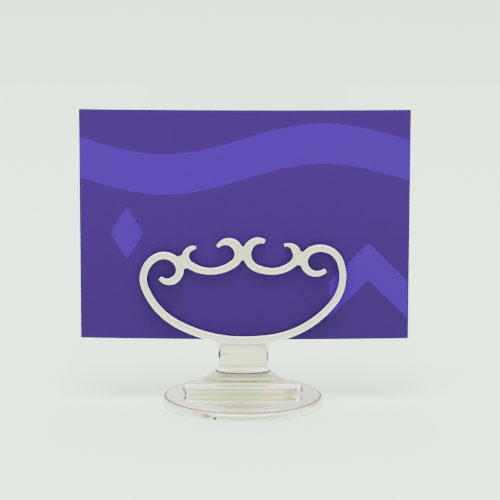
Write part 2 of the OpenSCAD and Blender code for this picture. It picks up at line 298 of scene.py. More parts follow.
def new_group(
    name: str, inputs: dict[str, Sequence[str]], outputs: dict[str, Sequence[str]]
) -> tuple[Shader, bpy.types.bpy_prop_collection, Node]:
    """An empty node group with named sockets.

    Args:
        name: The group's name.
        inputs: The names of its inputs for each kind of socket.
        outputs: The names of its outputs for each kind of socket.

    Returns:
        The group's shader, the sockets that its inputs come from, and its output node.
    """
    tree = bpy.data.node_groups.new(name, "ShaderNodeTree")
    for direction, kinds in (("INPUT", inputs), ("OUTPUT", outputs)):
        for kind, labels in kinds.items():
            for label in labels:
                tree.interface.new_socket(label, in_out=direction, socket_type=kind)
    given = tree.nodes.new("NodeGroupInput").outputs
    return Shader(tree), given, tree.nodes.new("NodeGroupOutput")


def new_material(name: str) -> tuple[Material, Shader, Node]:
    """A new material.

    Args:
        name: Its name.

    Returns:
        The material, its shader and its Principled BSDF.
    """
    made = bpy.data.materials.new(name)
    made.use_nodes = True
    return made, Shader(made.node_tree), made.node_tree.nodes["Principled BSDF"]


def build_wipe_marks() -> NodeTree:
    """The group for the marks of polishing: fine hairlines, faint wipes and broad hand waves.

    Returns:
        The node group, with a mask of dull places and a height.
    """
    shader, given, result = new_group(
        "wipe_marks",
        {"NodeSocketVector": ("Vector",), "NodeSocketFloat": ("Hairlines", "Waves")},
        {"NodeSocketFloat": ("Dullness", "Height")},
    )
    # Noise values between which the marks fade in, the wipes' dullness, the hairlines' depth
    line_start, line_full, wipe_start, wipe_full = 0.5, 0.72, 0.42, 0.7
    wipe_share, line_depth = 0.45, 0.06
    hairline = shader.noise(given["Vector"], Scale=900.0, Detail=3.0, Roughness=0.65)
    wipe = shader.noise(given["Vector"], Scale=110.0, Detail=2.0, Distortion=0.6)
    wave = shader.noise(given["Vector"], Scale=22.0, Detail=1.0)
    lines = shader.maths(
        "MULTIPLY", shader.ramp(hairline, line_start, line_full), given["Hairlines"]
    )
    clouds = shader.maths("MULTIPLY", shader.ramp(wipe, wipe_start, wipe_full), wipe_share)
    broad = shader.maths("MULTIPLY", wave, given["Waves"])
    relief = shader.maths("SUBTRACT", broad, shader.maths("MULTIPLY", lines, line_depth))
    shader.fill(result, Dullness=shader.maths("ADD", lines, clouds), Height=relief)
    return shader.tree


def build_tarnish_and_shade() -> NodeTree:
    """The group for the brown film that stays in corners where a cloth doesn't reach, together with
    painted shade: ambient occlusion darkens corners and crevices, and the undersides of rounded
    edges are painted dark.

    Returns:
        The node group, with the colour under the film and the painted shade, and the mask of the
        film in corners and seams, which is partly painted shade.
    """
    shader, given, result = new_group(
        "corner_tarnish_and_shade",
        {
            "NodeSocketColor": ("Clean",),
            "NodeSocketFloat": (
                "Reach", "Shut", "Open", "Strength", "Edge Top", "Zone Middle", "Zone Half", "Seam",
            ),
        },
        {"NodeSocketColor": ("Color",), "NodeSocketFloat": ("Mask",)},
    )
    # Ambient occlusion darkens corners and crevices: partly tarnish, partly painted shade
    corner = shader.node("ShaderNodeAmbientOcclusion", samples=12, Distance=given["Reach"])
    open_air = shader.ramp(corner.outputs["AO"], given["Shut"], given["Open"])
    corners = shader.maths(
        "MULTIPLY", shader.maths("SUBTRACT", 1.0, open_air), given["Strength"]
    )
    coordinates = shader.node("ShaderNodeTexCoord").outputs
    height = shader.part(coordinates["Object"], "Z")
    reached = shader.maths("COMPARE", height, given["Zone Middle"], given["Zone Half"])
    # The undersides of rounded edges below Edge Top get the near-black colour: painted shade
    below = shader.maths("SUBTRACT", given["Edge Top"], height)
    rounded = shader.ramp(shader.part(coordinates["Normal"], "Z"), FLAT_BELOW, ROUND_BELOW)
    under = shader.maths("MULTIPLY", shader.ramp(below, 0.0, EDGE_FADE), rounded)
    flattened = shader.vector("MULTIPLY", coordinates["Object"], (1.0, 1.0, 0.0))
    radius = shader.vector("LENGTH", flattened)
    away = shader.maths("ABSOLUTE", shader.maths("SUBTRACT", radius, given["Seam"]))
    seam = shader.ramp(away, SEAM_FADE, SEAM_CORE)
    mask = shader.maths("MULTIPLY", shader.maths("MAXIMUM", corners, seam), reached)
    filmed_and_shaded = shader.blend(mask, given["Clean"], FILM_AND_SHADE)
    shader.fill(result, Color=shader.blend(under, filmed_and_shaded, DIRT_AND_SHADE), Mask=mask)
    return shader.tree


def build_stain_and_shade() -> NodeTree:
    """The group for one soft patch with a ragged edge, used for real stains and for painted shade.

    Returns:
        The node group, with the patch's mask.
    """
    shader, given, result = new_group(
        "soft_stain_and_shade",
        {"NodeSocketVector": ("Middle", "Size"), "NodeSocketFloat": ("Strength",)},
        {"NodeSocketFloat": ("Mask",)},
    )
    # How far the noise moves the edge, and the core, as shares of the patch's size
    ragged, core = 0.4, 0.4
    place = shader.place()
    away = shader.vector("SUBTRACT", place, given["Middle"])
    far = shader.vector("LENGTH", shader.vector("DIVIDE", away, given["Size"]))
    inward = shader.maths("SUBTRACT", far, ragged / 2.0)
    rough = shader.noise(place, Scale=1500.0, Detail=2.0)
    soft = shader.ramp(shader.maths("MULTIPLY_ADD", rough, ragged, inward), 1.0, core)
    shader.fill(result, Mask=shader.maths("MULTIPLY", soft, given["Strength"]))
    return shader.tree


@dataclass(frozen=True)
class StainAndShade:
    """A soft patch of colour on the metal, round or drawn out: some are real stains, dents and
    pits, others painted shade and painted dark reflections.

    Attributes:
        middle: Its middle.
        size: Its half sizes in X, Y and Z.
        colour: The metal's colour under it.
        strength: How much it covers, up to 1.
        haze: Roughness that it adds.
    """

    middle: Vector
    size: Vector
    colour: Colour
    strength: float
    haze: float = 0.0


@dataclass(frozen=True)
class SilverFinish:
    """Polished silver as one part of the holder shows it.

    Attributes:
        name: The material's name.
        tint: The clean metal's colour.
        gloss: Roughness where the surface is clean.
        dull: Roughness in the dull places.
        wiped: The direction of the marks.
        hairlines: Strength of the hairlines.
        waves: Strength of the hand waves.
        relief: Height of the marks and waves.
        corner_film_and_shade: Strength of the film in corners, which is partly tarnish and partly
            painted shade.
        reach: How far the film and painted shade reach out of a corner.
        shut: Openness at which the film and painted shade are full.
        open_air: Openness at which it ends.
        edge_top: Height below which the undersides of rounded edges are painted dark as shade, but
            not a flat underside.
        zone: Middle and half of the heights that have the film and painted shade at all.
        seam: Radius of a seam round the base's middle that the film darkens.
        stains_and_shades: The soft patches: real stains, dents and pits, and painted shade and
            painted dark reflections.
    """

    name: str
    tint: Colour = (0.92, 0.915, 0.82, 1.0)
    gloss: float = 0.12
    dull: float = 0.3
    wiped: Axis = Axis.ALL_ROUND
    hairlines: float = 0.5
    waves: float = 0.5
    relief: float = 0.04 * MM
    corner_film_and_shade: float = 0.0
    reach: float = 0.4 * MM
    shut: float = 0.05
    open_air: float = 0.5
    edge_top: float = -1.0
    zone: tuple[float, float] = (0.0, 1.0)
    seam: float = -1.0
    stains_and_shades: tuple[StainAndShade, ...] = ()

    def material(self, shop: "Workshop") -> Material:
        """Builds the material.

        Args:
            shop: The workshop with the shared node groups.

        Returns:
            The new material.
        """
        made, shader, surface = new_material(self.name)
        turned = shader.node("ShaderNodeMapping", Vector=shader.place(), Scale=self.wiped.value)
        marks = shader.node(
            "ShaderNodeGroup", node_tree=shop.marks, Vector=turned.outputs["Vector"],
            Hairlines=self.hairlines, Waves=self.waves,
        ).outputs
        # The corner film is partly tarnish and partly painted shade: occlusion darkens corners, and
        # the undersides of rounded edges are painted dark
        filmed_and_shaded = shader.node(
            "ShaderNodeGroup", node_tree=shop.tarnish_and_shade, Clean=self.tint, Strength=self.corner_film_and_shade,
            Reach=self.reach, Shut=self.shut, Open=self.open_air, Edge_Top=self.edge_top,
            Zone_Middle=self.zone[0], Zone_Half=self.zone[1], Seam=self.seam,
        ).outputs
        colour = filmed_and_shaded["Color"]
        haze = shader.maths("MULTIPLY", filmed_and_shaded["Mask"], FILM_HAZE)
        # The soft patches are real stains, dents and pits, and also painted shade and painted dark
        # reflections
        for stain_and_shade in self.stains_and_shades:
            spot = shader.node(
                "ShaderNodeGroup", node_tree=shop.stain_and_shade, Middle=stain_and_shade.middle, Size=stain_and_shade.size,
                Strength=stain_and_shade.strength,
            ).outputs["Mask"]
            colour = shader.blend(spot, colour, stain_and_shade.colour)
            if stain_and_shade.haze:
                haze = shader.maths("MULTIPLY_ADD", spot, stain_and_shade.haze, haze)
        spread = shader.maths("MULTIPLY", marks["Dullness"], self.dull - self.gloss)
        rough = shader.maths("ADD", shader.maths("ADD", spread, self.gloss), haze)
        shader.fill(
            surface, Metallic=1.0, Base_Color=colour, Roughness=rough,
            Normal=shader.bump(marks["Height"], strength=1.0, distance=self.relief),
        )
        self.lift_deep_reflections(shader, surface)
        return made

    @staticmethod
    def lift_deep_reflections(shader: Shader, surface: Node) -> None:
        """Adds the light of the many reflections that a path in a narrow gap leaves out.

        Args:
            shader: The material's shader.
            surface: Its Principled BSDF.
        """
        bounces = shader.node("ShaderNodeLightPath").outputs["Glossy Depth"]
        deep = shader.maths("GREATER_THAN", bounces, SHALLOW_BOUNCES)
        shader.fill(
            surface, Emission_Color=GAP_LIGHT,
            Emission_Strength=shader.maths("MULTIPLY", deep, GAP_STRENGTH),
        )


@dataclass(frozen=True)
class CardFinish:
    """Coated card in two tones of violet, with a plain pattern of its own.

    Attributes:
        ground: The main colour.
        shape: The lighter colour of the shapes.
        deep: The colour near the lower edge.
        fibre: The colour of its faint mottle.
        fade: Heights between which the card grows darker downwards.
        gloss: Roughness of the coating.
    """

    ground: Colour
    shape: Colour
    deep: Colour
    fibre: Colour
    fade: tuple[float, float]
    gloss: float

    @staticmethod
    def shapes(shader: Shader) -> NodeSocket:
        """The mask of the lighter shapes: a low wave, a chevron and a small lozenge.

        Args:
            shader: The material's shader.

        Returns:
            The mask, 1 on the shapes.
        """
        wave_turn, wave_swing, wave_z, wave_half = 62.0, 5.0 * MM, 79.0 * MM, 6.5 * MM
        chevron_x, chevron_z, chevron_half, chevron_arm = 40.0 * MM, 46.0 * MM, 6.0 * MM, 12.5 * MM
        lozenge_x, lozenge_z, lozenge_half, lozenge_slope = -37.0 * MM, 55.0 * MM, 8.5 * MM, 1.6
        across, up = shader.part(shader.place(), "X"), shader.part(shader.place(), "Z")
        swell = shader.maths("SINE", shader.maths("MULTIPLY", across, wave_turn))
        crest = shader.maths("MULTIPLY_ADD", swell, wave_swing, wave_z)
        wave = shader.maths("COMPARE", shader.maths("SUBTRACT", up, crest), 0.0, wave_half)
        arm = shader.maths("ABSOLUTE", shader.maths("SUBTRACT", across, chevron_x))
        roof = shader.maths("ADD", shader.maths("SUBTRACT", up, chevron_z), arm)
        chevron = shader.maths("COMPARE", roof, 0.0, chevron_half)
        inside = shader.maths("LESS_THAN", arm, chevron_arm)
        side = shader.maths("ABSOLUTE", shader.maths("SUBTRACT", across, lozenge_x))
        rise = shader.maths("ABSOLUTE", shader.maths("SUBTRACT", up, lozenge_z))
        diamond = shader.maths("MULTIPLY_ADD", side, lozenge_slope, rise)
        lozenge = shader.maths("LESS_THAN", diamond, lozenge_half)
        pair = shader.maths("MAXIMUM", wave, shader.maths("MULTIPLY", chevron, inside))
        return shader.maths("MAXIMUM", pair, lozenge)

    def material(self, name: str, printed: bool) -> Material:
        """Builds the card's material.

        Args:
            name: The material's name.
            printed: Whether the lighter shapes are on this side.

        Returns:
            The new material.
        """
        # Noise values between which the mottle fades in, its share, and the roughness it adds
        mottle_start, mottle_full, mottle_share, fibre_haze = 0.35, 0.75, 0.07, 0.12
        made, shader, surface = new_material(name)
        place = shader.place()
        low = shader.ramp(shader.part(place, "Z"), *self.fade)
        colour = shader.blend(low, self.ground, self.deep)
        if printed:
            colour = shader.blend(self.shapes(shader), colour, self.shape)
        fibre = shader.noise(place, Scale=2600.0, Detail=4.0, Roughness=0.7)
        mottle = shader.maths(
            "MULTIPLY", shader.ramp(fibre, mottle_start, mottle_full), mottle_share
        )
        shader.fill(
            surface, Base_Color=shader.blend(mottle, colour, self.fibre),
            Roughness=shader.maths("MULTIPLY_ADD", fibre, fibre_haze, self.gloss),
            Normal=shader.bump(fibre, strength=0.25, distance=0.01 * MM),
            Specular_IOR_Level=0.06,
        )
        return made


# The brown of the corner film, partly tarnish and partly painted shade in corners; one painted dark
# reflection on the boss uses it too
FILM_AND_SHADE: Colour = (0.22, 0.205, 0.14, 1.0)
# Near black, for painted shade under rounded edges and in gaps, for painted dark reflections, and
# for real dents and pits
DIRT_AND_SHADE: Colour = (0.06, 0.055, 0.04, 1.0)
# Roughness of the full film
FILM_HAZE = 0.3
# The light that is added in place of the reflections past this many mirror bounces
SHALLOW_BOUNCES = 1.5
GAP_LIGHT: Colour = (1.0, 1.02, 0.82, 1.0)
GAP_STRENGTH = 0.4
# How far from a filmed seam the film is full, and where it ends
SEAM_CORE = 0.15 * MM
SEAM_FADE = 0.45 * MM
# Upward part of the normal on a flat underside and on a rounded edge, and the soft top of the
# painted shade under rounded edges
FLAT_BELOW = -0.7
ROUND_BELOW = -0.45
EDGE_FADE = 0.12 * MM

PLATE_FINISH = SilverFinish(
    "plate_mirror_silver", (0.88, 0.875, 0.77, 1.0), gloss=0.07, dull=0.2, wiped=Axis.ACROSS,
    hairlines=0.35, waves=0.4, relief=0.03 * MM, reach=0.3 * MM, seam=24.75 * MM,
    stains_and_shades=(
        # Warm patch on the plate's front part, where it mirrors the flare: painted reflection
        StainAndShade(mm(-1.8, -19.5, 2.7), mm(13.0, 7.5, 1.0), (0.78, 0.68, 0.55, 1.0), 0.7),
        StainAndShade(mm(0.0, 0.0, 2.7), mm(34.0, 16.0, 1.0), (0.84, 0.86, 0.74, 1.0), 0.5),
    ),
)
RIM_FINISH = SilverFinish(
    "rim_worn_silver", (0.82, 0.82, 0.69, 1.0), gloss=0.2, dull=0.36, hairlines=0.6, waves=0.6,
    # The corner film here also darkens the rim's lowest edge at the table: painted contact shade,
    # besides the film in the seam
    relief=0.05 * MM, corner_film_and_shade=0.8, reach=0.5 * MM, shut=0.35, open_air=0.75, seam=24.9 * MM,
    stains_and_shades=(
        StainAndShade(mm(-13.3, -21.7, 1.9), mm(4.2, 4.0, 1.3), (0.66, 0.48, 0.28, 1.0), 0.85),
        StainAndShade(mm(-11.3, -23.1, 1.3), mm(2.4, 3.0, 0.9), (0.3, 0.24, 0.12, 1.0), 0.8),
        StainAndShade(mm(-8.6, -24.3, 0.8), mm(0.85, 2.0, 0.65), DIRT_AND_SHADE, 1.0),
        StainAndShade(mm(22.3, -12.6, 2.0), mm(4.0, 6.0, 0.3), (0.35, 0.34, 0.32, 1.0), 0.7),
    ),
)
HINGE_FINISH = SilverFinish(
    "hinge_silver", wiped=Axis.ACROSS, waves=0.4, relief=0.02 * MM, corner_film_and_shade=0.5,
    # The dark patch on the left ear, where the pin shows in the gap, is painted shade
    stains_and_shades=(StainAndShade(mm(-18.3, -1.5, 3.5), mm(0.4, 3.0, 1.3), DIRT_AND_SHADE, 1.0),),
)
# The pin is tinted nearly black so that its ends show as dark dots: painted shade and painted dark
# reflection
PIN_FINISH = SilverFinish(
    "pin_painted_shade_silver", (0.12, 0.115, 0.09, 1.0), gloss=0.2, dull=0.4, waves=0.4,
    relief=0.02 * MM, corner_film_and_shade=0.9,
)
LEAF_FINISH = SilverFinish(
    "leaf_rolled_silver", gloss=0.1, dull=0.26, wiped=Axis.ACROSS, hairlines=0.4,
    # With 4 mm of reach in a band just under the boss's lip, the film here is painted shade on the
    # flare below the lip
    relief=0.03 * MM, corner_film_and_shade=1.0, reach=4.0 * MM, shut=0.69, open_air=0.75,
    zone=(8.7 * MM, 0.8 * MM),
    stains_and_shades=(
        # Dark line along the lap's step: painted shade in the crease
        StainAndShade(mm(0.3, 0.8, 6.74), mm(19.0, 4.0, 0.33), (0.19, 0.18, 0.13, 1.0), 0.85),
        # Two olive bands over the knuckle dim its bright reflections: painted shade; their haze is
        # real roughness
        StainAndShade(mm(0.0, -1.5, 5.5), mm(26.0, 4.0, 0.6), (0.52, 0.53, 0.45, 1.0), 0.9, 0.18),
        StainAndShade(mm(0.0, -2.0, 3.9), mm(24.0, 5.0, 1.5), (0.54, 0.58, 0.37, 1.0), 0.9, 0.18),
        StainAndShade(mm(9.6, -2.0, 4.6), mm(6.5, 4.0, 1.5), (0.9, 0.74, 0.55, 1.0), 0.8),
        StainAndShade(mm(15.1, -2.0, 3.9), mm(2.8, 4.0, 1.3), (0.45, 0.39, 0.18, 1.0), 0.75),
        # Dark patch at the knuckle's right end, in the gap by the ear: painted shade
        StainAndShade(mm(17.0, -2.0, 4.8), mm(0.35, 3.0, 0.5), DIRT_AND_SHADE, 0.9),
    ),
)
BOSS_FINISH = SilverFinish(
    "boss_cast_silver", gloss=0.1, dull=0.24, wiped=Axis.UPRIGHT, hairlines=0.4, corner_film_and_shade=0.2,
    # edge_top here paints the lip's rounded underside near black: painted shade
    reach=0.8 * MM, edge_top=10.9 * MM,
    stains_and_shades=(
        # The dark mark at the waist's left corner, its fading tail and the dark line along its
        # right edge are painted dark reflections
        StainAndShade(mm(-7.5, -0.7, 15.9), mm(0.6, 3.0, 2.0), DIRT_AND_SHADE, 1.0),
        StainAndShade(mm(-5.8, -0.8, 16.1), mm(2.4, 3.0, 0.45), FILM_AND_SHADE, 0.6),
        StainAndShade(mm(8.0, -0.7, 15.3), mm(0.42, 3.0, 3.2), DIRT_AND_SHADE, 1.0),
        StainAndShade(mm(-8.5, -1.5, 10.9), mm(0.5, 4.0, 0.6), DIRT_AND_SHADE, 0.9),
        StainAndShade(mm(-1.4, -3.0, 11.5), mm(8.5, 3.4, 1.1), (0.58, 0.5, 0.37, 1.0), 0.85),
        # Greyer band at the boss's top, just under the wire: painted shadow
        StainAndShade(mm(0.4, -1.4, 19.4), mm(12.0, 3.0, 0.55), (0.66, 0.68, 0.54, 1.0), 0.8),
    ),
)
WIRE_FINISH = SilverFinish(
    "bent_wire_silver", corner_film_and_shade=0.08,
    stains_and_shades=(StainAndShade(mm(-3.8, -1.6, 19.4), mm(0.3, 3.0, 0.3), DIRT_AND_SHADE, 0.8),),
)
SOLDER_FINISH = SilverFinish(
    "solder_silver", (0.86, 0.85, 0.75, 1.0), gloss=0.2, dull=0.4, hairlines=0.6, waves=0.8,
    relief=0.05 * MM, corner_film_and_shade=0.3,
)
CARD_FINISH = CardFinish(
    ground=(0.0272, 0.004, 0.0975, 1.0),
    shape=(0.036, 0.002, 0.183, 1.0),
    deep=(0.0235, 0.0043, 0.082, 1.0),
    fibre=(0.06, 0.03, 0.15, 1.0),
    fade=(75.0 * MM, 25.0 * MM),
    gloss=0.42,
)


@dataclass
class Workshop:
    """The node groups that the silver finishes share, and the dressing of the pieces.

    Attributes:
        marks: The marks of polishing.
        tarnish_and_shade: The film in corners and seams, with painted shade in corners and under
            rounded edges.
        stain_and_shade: One soft patch, for real stains and for painted shade.
    """

    marks: NodeTree = field(default_factory=build_wipe_marks)
    tarnish_and_shade: NodeTree = field(default_factory=build_tarnish_and_shade)
    stain_and_shade: NodeTree = field(default_factory=build_stain_and_shade)

    @staticmethod
    def dress(piece: Object, body: str, slot: str, node: str, *materials: Material) -> None:
        """Gives a new piece its materials and its body, and hides the solid that it stands for.

        Args:
            piece: The piece.
            body: The body that it rides on.
            slot: The record's material slot; not used.
            node: The solid that it replaces.
            materials: Its materials, in the order of its faces' indices.
        """
        for material in materials:
            piece.data.materials.append(material)
        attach(piece, body)
        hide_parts(node)
        LOG.info("%s rides on %s, %d faces", piece.name, body, len(piece.data.polygons))


# Stand


@dataclass
class Stand:
    """The base plate in its rim, and the ears and pin of the hinge.

    Attributes:
        base_r: Widest radius of the rim.
        plate_r: Radius of the seam between plate and rim.
        ledge_r: Inner radius of the rim's ledge.
        base_h: Height of the plate's top.
        plate_t: Thickness of the plate.
        bulge_r: Radius of the rim's convex side.
        bulge_z: Height of its widest line.
        step: How far the rim's shoulder stays below the plate.
        seam: Width of the seam.
        tenon: How far the ears' tenons stand out below the plate.
        hole_r: Radius of the pinhole that the turning leaves in the plate's middle.
        rim_ease: Width of the rim's eased shoulder.
        plate_ease: Width of the plate's eased edge.
        ear_ease: Width of the ears' eased edges.
        pin_ease: Width of the pin's eased edges.
    """

    base_r: float = 25.8 * MM
    plate_r: float = 24.9 * MM
    ledge_r: float = 23.5 * MM
    base_h: float = 2.7 * MM
    plate_t: float = 0.9 * MM
    bulge_r: float = 3.4 * MM
    bulge_z: float = 0.5 * MM
    step: float = 0.15 * MM
    seam: float = 0.09 * MM
    tenon: float = 0.03 * MM
    hole_r: float = 0.004 * MM
    rim_ease: float = 0.18 * MM
    plate_ease: float = 0.06 * MM
    ear_ease: float = 0.14 * MM
    pin_ease: float = 0.05 * MM

    RIM_STEPS = 480
    PLATE_STEPS = 360
    SHARP_TURN = 35.0
    SIDE_STEPS = 14
    # Share of the shoulder's height that the convex side takes
    SIDE_SHARE = 0.93
    # Shares of the eased shoulder's width, inwards, and of the seam's width, outwards and down
    SHOULDER_SHARES = (0.12, 0.45)
    LIP_SHARES = ((1.6, 0.0), (1.1, 0.4), (1.0, 1.2))
    # Shares of the plate's eased edge and of its radius
    EASE_SHARE = 0.3
    RING_SHARE = 0.6

    def side(self, height: float) -> float:
        """Radius of the convex side at a height above the table."""
        off = height - self.bulge_z
        return self.base_r - self.bulge_r + math.sqrt(self.bulge_r**2 - off**2)

    def rim(self) -> Object:
        """Turns the rim from its profile.

        Returns:
            The rim.
        """
        top, ledge_z = self.base_h - self.step, self.base_h - self.plate_t
        steps = range(self.SIDE_STEPS + 1)
        heights = [top * index / self.SIDE_STEPS * self.SIDE_SHARE for index in steps]
        convex = [(self.side(height), height) for height in heights]
        radius, height = convex[-1]
        start, middle = self.SHOULDER_SHARES
        lip = [
            (self.plate_r + self.seam * out, top - self.seam * down)
            for out, down in self.LIP_SHARES
        ]
        profile = [
            *convex,
            (radius - self.rim_ease * start, height + (top - height) / 2.0),
            (radius - self.rim_ease * middle, top - self.rim_ease * start),
            (radius - self.rim_ease, top),
            *lip,
            (self.plate_r + self.seam, ledge_z),
            (self.ledge_r, ledge_z),
            (self.ledge_r, 0.0),
        ]
        return link_mesh("rolled_rim", spun(profile, self.RIM_STEPS), self.SHARP_TURN)

    def plate(self) -> Object:
        """Turns the plate, with an eased upper edge.

        Returns:
            The plate.
        """
        low, edge = self.base_h - self.plate_t + self.tenon, self.plate_r - self.seam
        eased = self.plate_ease * self.EASE_SHARE
        profile = [
            (self.hole_r, low),
            (edge, low),
            (edge, self.base_h - self.plate_ease),
            (edge - eased, self.base_h - eased),
            (edge - self.plate_ease, self.base_h),
            (self.plate_r * self.RING_SHARE, self.base_h),
            (self.hole_r, self.base_h),
        ]
        return link_mesh("polished_plate", spun(profile, self.PLATE_STEPS), self.SHARP_TURN)

    def build(self, shop: Workshop) -> None:
        """Builds and dresses the stand's pieces.

        Args:
            shop: The workshop with the finishes.
        """
        shop.dress(self.rim(), "stand", "rim_silver", "base_rim", RIM_FINISH.material(shop))
        shop.dress(self.plate(), "stand", "plate_silver", "base_plate", PLATE_FINISH.material(shop))
        hinge = HINGE_FINISH.material(shop)
        for side in ("left", "right"):
            ear = link_mesh(f"{side}_hinge_ear", polished_copy(f"{side}_ear", self.ear_ease))
            weigh_normals(ear)
            shop.dress(ear, "stand", "hinge_silver", f"{side}_ear", hinge)
        pin = link_mesh("riveted_pin", polished_copy("hinge_pin", self.pin_ease))
        shop.dress(pin, "stand", "hinge_silver", "hinge_pin", PIN_FINISH.material(shop))


# Upright


@dataclass(frozen=True)
class Bend:
    """One bend of a wire.

    Attributes:
        radius: Its radius, as a share of the wire's drawn size.
        turn: Its turn in degrees, to the left seen from in front.
        width: The wire's width at its end, as a share of the plain wire's.
    """

    radius: float
    turn: float
    width: float


@dataclass(frozen=True)
class Station:
    """A place along a wire where its section stands.

    Attributes:
        x: Its place across.
        z: Its height.
        heading: The wire's heading there, in degrees, 0 to the right.
        width: The wire's width there.
        cap: How far the tip's rounding has drawn it in, 1 where it hasn't.
    """

    x: float
    z: float
    heading: float
    width: float
    cap: float = 1.0


@dataclass(frozen=True)
class Half:
    """One half of a wire: its heading at the low point, in degrees, and its bends.

    Attributes:
        heading: The heading.
        bends: The bends, in order.
    """

    heading: float
    bends: tuple[Bend, ...]

    REACH_STEPS = 90

    def reach(self) -> float:
        """How far its centre line reaches sideways from its start, with bends of size 1.

        Returns:
            The reach.
        """
        x, best, heading = 0.0, 0.0, self.heading
        for bend in self.bends:
            for index in range(1, self.REACH_STEPS + 1):
                first = math.radians(heading + bend.turn * (index - 1) / self.REACH_STEPS)
                last = math.radians(heading + bend.turn * index / self.REACH_STEPS)
                x += math.copysign(bend.radius, bend.turn) * (math.sin(last) - math.sin(first))
                best = max(best, abs(x))
            heading += bend.turn
        return best


# The left and the right half of the long wire, from its low point to the volutes
OUTER_HALVES = (
    Half(180.0, (
        Bend(1.28, -28, 1.1), Bend(0.67, -41, 1.0), Bend(0.232, -80, 1.04),
        Bend(0.154, -90, 1.1), Bend(0.116, -96, 1.1), Bend(0.096, -72, 0.68),
    )),
    Half(0.0, (
        Bend(1.75, 8, 1.1), Bend(0.89, 44, 1.0), Bend(0.4, 57, 0.94),
        Bend(0.193, 96, 1.08), Bend(0.115, 95, 1.06), Bend(0.114, 101, 0.68),
    )),
)
# The horn and the inner half of each small scroll
SMALL_SCROLLS = {
    "left": (
        Half(180.0, (
            Bend(0.69, -35, 1.1), Bend(0.158, -33, 1.2), Bend(0.18, -95, 0.68),
            Bend(0.13, -26, 0.5),
        )),
        Half(0.0, (
            Bend(0.72, 37, 1.1), Bend(0.235, 99, 1.3), Bend(0.2, 50, 1.0), Bend(0.228, 46, 0.54),
        )),
    ),
    "right": (
        Half(0.0, (
            Bend(0.604, 44, 1.06), Bend(0.222, 75, 1.15), Bend(0.192, 60, 0.52),
            Bend(0.13, 22, 0.46),
        )),
        Half(180.0, (
            Bend(0.803, -23, 1.06), Bend(0.314, -93, 1.2), Bend(0.236, -52, 0.98),
            Bend(0.242, -34, 0.66),
        )),
    ),
}


